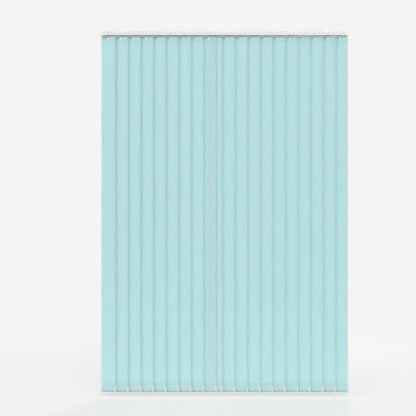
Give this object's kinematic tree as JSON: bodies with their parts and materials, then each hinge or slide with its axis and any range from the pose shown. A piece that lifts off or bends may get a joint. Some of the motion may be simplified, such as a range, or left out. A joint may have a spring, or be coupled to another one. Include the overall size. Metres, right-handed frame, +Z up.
{
  "type": "vertical blind",
  "caption": "Vertical blind with a slotted headrail, sliding carriers, hanging fabric vanes that tilt and draw apart, and weighted hems linked by bead chains.",
  "frame": {"origin": "on the fixing plane above the headrail, at the middle of the bracket screws", "axes": "+X along the headrail to the right as seen from the room, -Y towards the room, +Z up"},
  "size_m": [1.5212, 0.04, 2.217],
  "materials": {
    "rail_white": "white powder coat on extruded aluminium, satin",
    "fitting_plastic": "moulded white plastic",
    "bracket_steel": "zinc-plated pressed steel",
    "rod_aluminium": "extruded, unpainted",
    "gear_plastic": "natural acetal",
    "carrier_plastic": "moulded white acetal",
    "vane_fabric": "woven aqua polyester with a dimout backing; hook, hanger and weight are white plastic",
    "chain_plastic": "moulded white beads"
  },
  "bodies": {
    "headrail": {"headrail": "rail_white", "bracket_left": "bracket_steel", "bracket_middle": "bracket_steel", "bracket_right": "bracket_steel", "idle_end_cap": "fitting_plastic", "rod_bush": "gear_plastic", "pulley_pin": "bracket_steel", "control_housing": "fitting_plastic", "control_cover": "fitting_plastic", "carrier_01": "carrier_plastic", "carrier_20": "carrier_plastic"},
    "tilt_drive": {"tilt_rod": "rod_aluminium", "chain_sprocket": "gear_plastic"},
    "return_pulley": {"return_pulley": "gear_plastic"},
    "carrier_02": {"carrier_02": "carrier_plastic"},
    "carrier_03": {"carrier_03": "carrier_plastic"},
    "carrier_04": {"carrier_04": "carrier_plastic"},
    "carrier_05": {"carrier_05": "carrier_plastic"},
    "carrier_06": {"carrier_06": "carrier_plastic"},
    "carrier_07": {"carrier_07": "carrier_plastic"},
    "carrier_08": {"carrier_08": "carrier_plastic"},
    "carrier_09": {"carrier_09": "carrier_plastic"},
    "carrier_10": {"carrier_10": "carrier_plastic"},
    "carrier_11": {"carrier_11": "carrier_plastic"},
    "carrier_12": {"carrier_12": "carrier_plastic"},
    "carrier_13": {"carrier_13": "carrier_plastic"},
    "carrier_14": {"carrier_14": "carrier_plastic"},
    "carrier_15": {"carrier_15": "carrier_plastic"},
    "carrier_16": {"carrier_16": "carrier_plastic"},
    "carrier_17": {"carrier_17": "carrier_plastic"},
    "carrier_18": {"carrier_18": "carrier_plastic"},
    "carrier_19": {"carrier_19": "carrier_plastic"},
    "vane_01": {"vane_01": "vane_fabric"},
    "vane_02": {"vane_02": "vane_fabric"},
    "vane_03": {"vane_03": "vane_fabric"},
    "vane_04": {"vane_04": "vane_fabric"},
    "vane_05": {"vane_05": "vane_fabric"},
    "vane_06": {"vane_06": "vane_fabric"},
    "vane_07": {"vane_07": "vane_fabric"},
    "vane_08": {"vane_08": "vane_fabric"},
    "vane_09": {"vane_09": "vane_fabric"},
    "vane_10": {"vane_10": "vane_fabric"},
    "vane_11": {"vane_11": "vane_fabric"},
    "vane_12": {"vane_12": "vane_fabric"},
    "vane_13": {"vane_13": "vane_fabric"},
    "vane_14": {"vane_14": "vane_fabric"},
    "vane_15": {"vane_15": "vane_fabric"},
    "vane_16": {"vane_16": "vane_fabric"},
    "vane_17": {"vane_17": "vane_fabric"},
    "vane_18": {"vane_18": "vane_fabric"},
    "vane_19": {"vane_19": "vane_fabric"},
    "vane_20": {"vane_20": "vane_fabric"},
    "front_chain_left": {"front_chain_left": "chain_plastic"},
    "rear_chain_left": {"rear_chain_left": "chain_plastic"},
    "front_chain_right": {"front_chain_right": "chain_plastic"},
    "rear_chain_right": {"rear_chain_right": "chain_plastic"}
  },
  "joints": [
    {"name": "rod_turn", "type": "hinge", "parent": "headrail", "child": "tilt_drive", "pos_m": [0, 0.0092, -0.01402], "axis": [1, 0, 0], "range_deg": [0, 2808]},
    {"name": "slide_02", "type": "slide", "parent": "headrail", "child": "carrier_02", "axis": [-1, 0, 0], "range_m": [0, 0.051]},
    {"name": "slide_03", "type": "slide", "parent": "headrail", "child": "carrier_03", "axis": [-1, 0, 0], "range_m": [0, 0.102]},
    {"name": "slide_04", "type": "slide", "parent": "headrail", "child": "carrier_04", "axis": [-1, 0, 0], "range_m": [0, 0.153]},
    {"name": "slide_05", "type": "slide", "parent": "headrail", "child": "carrier_05", "axis": [-1, 0, 0], "range_m": [0, 0.204]},
    {"name": "slide_06", "type": "slide", "parent": "headrail", "child": "carrier_06", "axis": [-1, 0, 0], "range_m": [0, 0.255]},
    {"name": "slide_07", "type": "slide", "parent": "headrail", "child": "carrier_07", "axis": [-1, 0, 0], "range_m": [0, 0.306]},
    {"name": "slide_08", "type": "slide", "parent": "headrail", "child": "carrier_08", "axis": [-1, 0, 0], "range_m": [0, 0.357]},
    {"name": "slide_09", "type": "slide", "parent": "headrail", "child": "carrier_09", "axis": [-1, 0, 0], "range_m": [0, 0.408], "deforming": ["front_chain_left", "rear_chain_left", "front_chain_right", "rear_chain_right"]},
    {"name": "slide_10", "type": "slide", "parent": "headrail", "child": "carrier_10", "axis": [1, 0, 0], "range_m": [0, 0.408]},
    {"name": "slide_11", "type": "slide", "parent": "headrail", "child": "carrier_11", "axis": [1, 0, 0], "range_m": [0, 0.3672]},
    {"name": "slide_12", "type": "slide", "parent": "headrail", "child": "carrier_12", "axis": [1, 0, 0], "range_m": [0, 0.3264]},
    {"name": "slide_13", "type": "slide", "parent": "headrail", "child": "carrier_13", "axis": [1, 0, 0], "range_m": [0, 0.2856]},
    {"name": "slide_14", "type": "slide", "parent": "headrail", "child": "carrier_14", "axis": [1, 0, 0], "range_m": [0, 0.2448]},
    {"name": "slide_15", "type": "slide", "parent": "headrail", "child": "carrier_15", "axis": [1, 0, 0], "range_m": [0, 0.204]},
    {"name": "slide_16", "type": "slide", "parent": "headrail", "child": "carrier_16", "axis": [1, 0, 0], "range_m": [0, 0.1632]},
    {"name": "slide_17", "type": "slide", "parent": "headrail", "child": "carrier_17", "axis": [1, 0, 0], "range_m": [0, 0.1224]},
    {"name": "slide_18", "type": "slide", "parent": "headrail", "child": "carrier_18", "axis": [1, 0, 0], "range_m": [0, 0.0816]},
    {"name": "slide_19", "type": "slide", "parent": "headrail", "child": "carrier_19", "axis": [1, 0, 0], "range_m": [0, 0.0408]},
    {"name": "turn_01", "type": "hinge", "parent": "headrail", "child": "vane_01", "pos_m": [-0.7115, 0, -0.027], "axis": [0, 0, -1], "range_deg": [0, 156]},
    {"name": "turn_02", "type": "hinge", "parent": "carrier_02", "child": "vane_02", "pos_m": [-0.6345, 0, -0.027], "axis": [0, 0, -1], "range_deg": [0, 156]},
    {"name": "turn_03", "type": "hinge", "parent": "carrier_03", "child": "vane_03", "pos_m": [-0.5575, 0, -0.027], "axis": [0, 0, -1], "range_deg": [0, 156]},
    {"name": "turn_04", "type": "hinge", "parent": "carrier_04", "child": "vane_04", "pos_m": [-0.4805, 0, -0.027], "axis": [0, 0, -1], "range_deg": [0, 156]},
    {"name": "turn_05", "type": "hinge", "parent": "carrier_05", "child": "vane_05", "pos_m": [-0.4035, 0, -0.027], "axis": [0, 0, -1], "range_deg": [0, 156]},
    {"name": "turn_06", "type": "hinge", "parent": "carrier_06", "child": "vane_06", "pos_m": [-0.3265, 0, -0.027], "axis": [0, 0, -1], "range_deg": [0, 156]},
    {"name": "turn_07", "type": "hinge", "parent": "carrier_07", "child": "vane_07", "pos_m": [-0.2495, 0, -0.027], "axis": [0, 0, -1], "range_deg": [0, 156]},
    {"name": "turn_08", "type": "hinge", "parent": "carrier_08", "child": "vane_08", "pos_m": [-0.1725, 0, -0.027], "axis": [0, 0, -1], "range_deg": [0, 156]},
    {"name": "turn_09", "type": "hinge", "parent": "carrier_09", "child": "vane_09", "pos_m": [-0.0955, 0, -0.027], "axis": [0, 0, -1], "range_deg": [0, 156]},
    {"name": "turn_10", "type": "hinge", "parent": "carrier_10", "child": "vane_10", "pos_m": [-0.0585, 0, -0.027], "axis": [0, 0, -1], "range_deg": [0, 156]},
    {"name": "turn_11", "type": "hinge", "parent": "carrier_11", "child": "vane_11", "pos_m": [0.0185, 0, -0.027], "axis": [0, 0, -1], "range_deg": [0, 156]},
    {"name": "turn_12", "type": "hinge", "parent": "carrier_12", "child": "vane_12", "pos_m": [0.0955, 0, -0.027], "axis": [0, 0, -1], "range_deg": [0, 156]},
    {"name": "turn_13", "type": "hinge", "parent": "carrier_13", "child": "vane_13", "pos_m": [0.1725, 0, -0.027], "axis": [0, 0, -1], "range_deg": [0, 156]},
    {"name": "turn_14", "type": "hinge", "parent": "carrier_14", "child": "vane_14", "pos_m": [0.2495, 0, -0.027], "axis": [0, 0, -1], "range_deg": [0, 156]},
    {"name": "turn_15", "type": "hinge", "parent": "carrier_15", "child": "vane_15", "pos_m": [0.3265, 0, -0.027], "axis": [0, 0, -1], "range_deg": [0, 156]},
    {"name": "turn_16", "type": "hinge", "parent": "carrier_16", "child": "vane_16", "pos_m": [0.4035, 0, -0.027], "axis": [0, 0, -1], "range_deg": [0, 156]},
    {"name": "turn_17", "type": "hinge", "parent": "carrier_17", "child": "vane_17", "pos_m": [0.4805, 0, -0.027], "axis": [0, 0, -1], "range_deg": [0, 156]},
    {"name": "turn_18", "type": "hinge", "parent": "carrier_18", "child": "vane_18", "pos_m": [0.5575, 0, -0.027], "axis": [0, 0, -1], "range_deg": [0, 156]},
    {"name": "turn_19", "type": "hinge", "parent": "carrier_19", "child": "vane_19", "pos_m": [0.6345, 0, -0.027], "axis": [0, 0, -1], "range_deg": [0, 156]},
    {"name": "turn_20", "type": "hinge", "parent": "headrail", "child": "vane_20", "pos_m": [0.7115, 0, -0.027], "axis": [0, 0, -1], "range_deg": [0, 156]},
    {"name": "front_chain_left_swivel", "type": "hinge", "parent": "vane_01", "child": "front_chain_left", "pos_m": [-0.66444, -0.00949, -2.1772], "axis": [0, 0, 1], "range_deg": [0, 156]},
    {"name": "rear_chain_left_swivel", "type": "hinge", "parent": "vane_01", "child": "rear_chain_left", "pos_m": [-0.75835, 0.01047, -2.1772], "axis": [0, 0, 1], "range_deg": [0, 156]},
    {"name": "front_chain_right_swivel", "type": "hinge", "parent": "vane_20", "child": "front_chain_right", "pos_m": [0.75855, -0.00949, -2.1772], "axis": [0, 0, 1], "range_deg": [0, 156]},
    {"name": "rear_chain_right_swivel", "type": "hinge", "parent": "vane_20", "child": "rear_chain_right", "pos_m": [0.66465, 0.01047, -2.1772], "axis": [0, 0, 1], "range_deg": [0, 156]},
    {"name": "pulley_turn", "type": "hinge", "parent": "headrail", "child": "return_pulley", "pos_m": [-0.7345, 0, -0.0204], "axis": [0, 0, 1], "range_deg": [0, 3437.85]}
  ],
  "couplings": [
    {"joint": "slide_02", "follows": "slide_09", "ratio": 0.125},
    {"joint": "slide_03", "follows": "slide_09", "ratio": 0.25},
    {"joint": "slide_04", "follows": "slide_09", "ratio": 0.375},
    {"joint": "slide_05", "follows": "slide_09", "ratio": 0.5},
    {"joint": "slide_06", "follows": "slide_09", "ratio": 0.625},
    {"joint": "slide_07", "follows": "slide_09", "ratio": 0.75},
    {"joint": "slide_08", "follows": "slide_09", "ratio": 0.875},
    {"joint": "slide_10", "follows": "slide_09", "ratio": 1},
    {"joint": "slide_11", "follows": "slide_09", "ratio": 0.9},
    {"joint": "slide_12", "follows": "slide_09", "ratio": 0.8},
    {"joint": "slide_13", "follows": "slide_09", "ratio": 0.7},
    {"joint": "slide_14", "follows": "slide_09", "ratio": 0.6},
    {"joint": "slide_15", "follows": "slide_09", "ratio": 0.5},
    {"joint": "slide_16", "follows": "slide_09", "ratio": 0.4},
    {"joint": "slide_17", "follows": "slide_09", "ratio": 0.3},
    {"joint": "slide_18", "follows": "slide_09", "ratio": 0.2},
    {"joint": "slide_19", "follows": "slide_09", "ratio": 0.1},
    {"joint": "turn_01", "follows": "rod_turn", "ratio": 0.055556},
    {"joint": "turn_02", "follows": "rod_turn", "ratio": 0.055556},
    {"joint": "turn_03", "follows": "rod_turn", "ratio": 0.055556},
    {"joint": "turn_04", "follows": "rod_turn", "ratio": 0.055556},
    {"joint": "turn_05", "follows": "rod_turn", "ratio": 0.055556},
    {"joint": "turn_06", "follows": "rod_turn", "ratio": 0.055556},
    {"joint": "turn_07", "follows": "rod_turn", "ratio": 0.055556},
    {"joint": "turn_08", "follows": "rod_turn", "ratio": 0.055556},
    {"joint": "turn_09", "follows": "rod_turn", "ratio": 0.055556},
    {"joint": "turn_10", "follows": "rod_turn", "ratio": 0.055556},
    {"joint": "turn_11", "follows": "rod_turn", "ratio": 0.055556},
    {"joint": "turn_12", "follows": "rod_turn", "ratio": 0.055556},
    {"joint": "turn_13", "follows": "rod_turn", "ratio": 0.055556},
    {"joint": "turn_14", "follows": "rod_turn", "ratio": 0.055556},
    {"joint": "turn_15", "follows": "rod_turn", "ratio": 0.055556},
    {"joint": "turn_16", "follows": "rod_turn", "ratio": 0.055556},
    {"joint": "turn_17", "follows": "rod_turn", "ratio": 0.055556},
    {"joint": "turn_18", "follows": "rod_turn", "ratio": 0.055556},
    {"joint": "turn_19", "follows": "rod_turn", "ratio": 0.055556},
    {"joint": "turn_20", "follows": "rod_turn", "ratio": 0.055556},
    {"joint": "front_chain_left_swivel", "follows": "rod_turn", "ratio": 0.055556},
    {"joint": "rear_chain_left_swivel", "follows": "rod_turn", "ratio": 0.055556},
    {"joint": "front_chain_right_swivel", "follows": "rod_turn", "ratio": 0.055556},
    {"joint": "rear_chain_right_swivel", "follows": "rod_turn", "ratio": 0.055556},
    {"joint": "pulley_turn", "follows": "slide_09", "rad_per_m": 147.06}
  ]
}
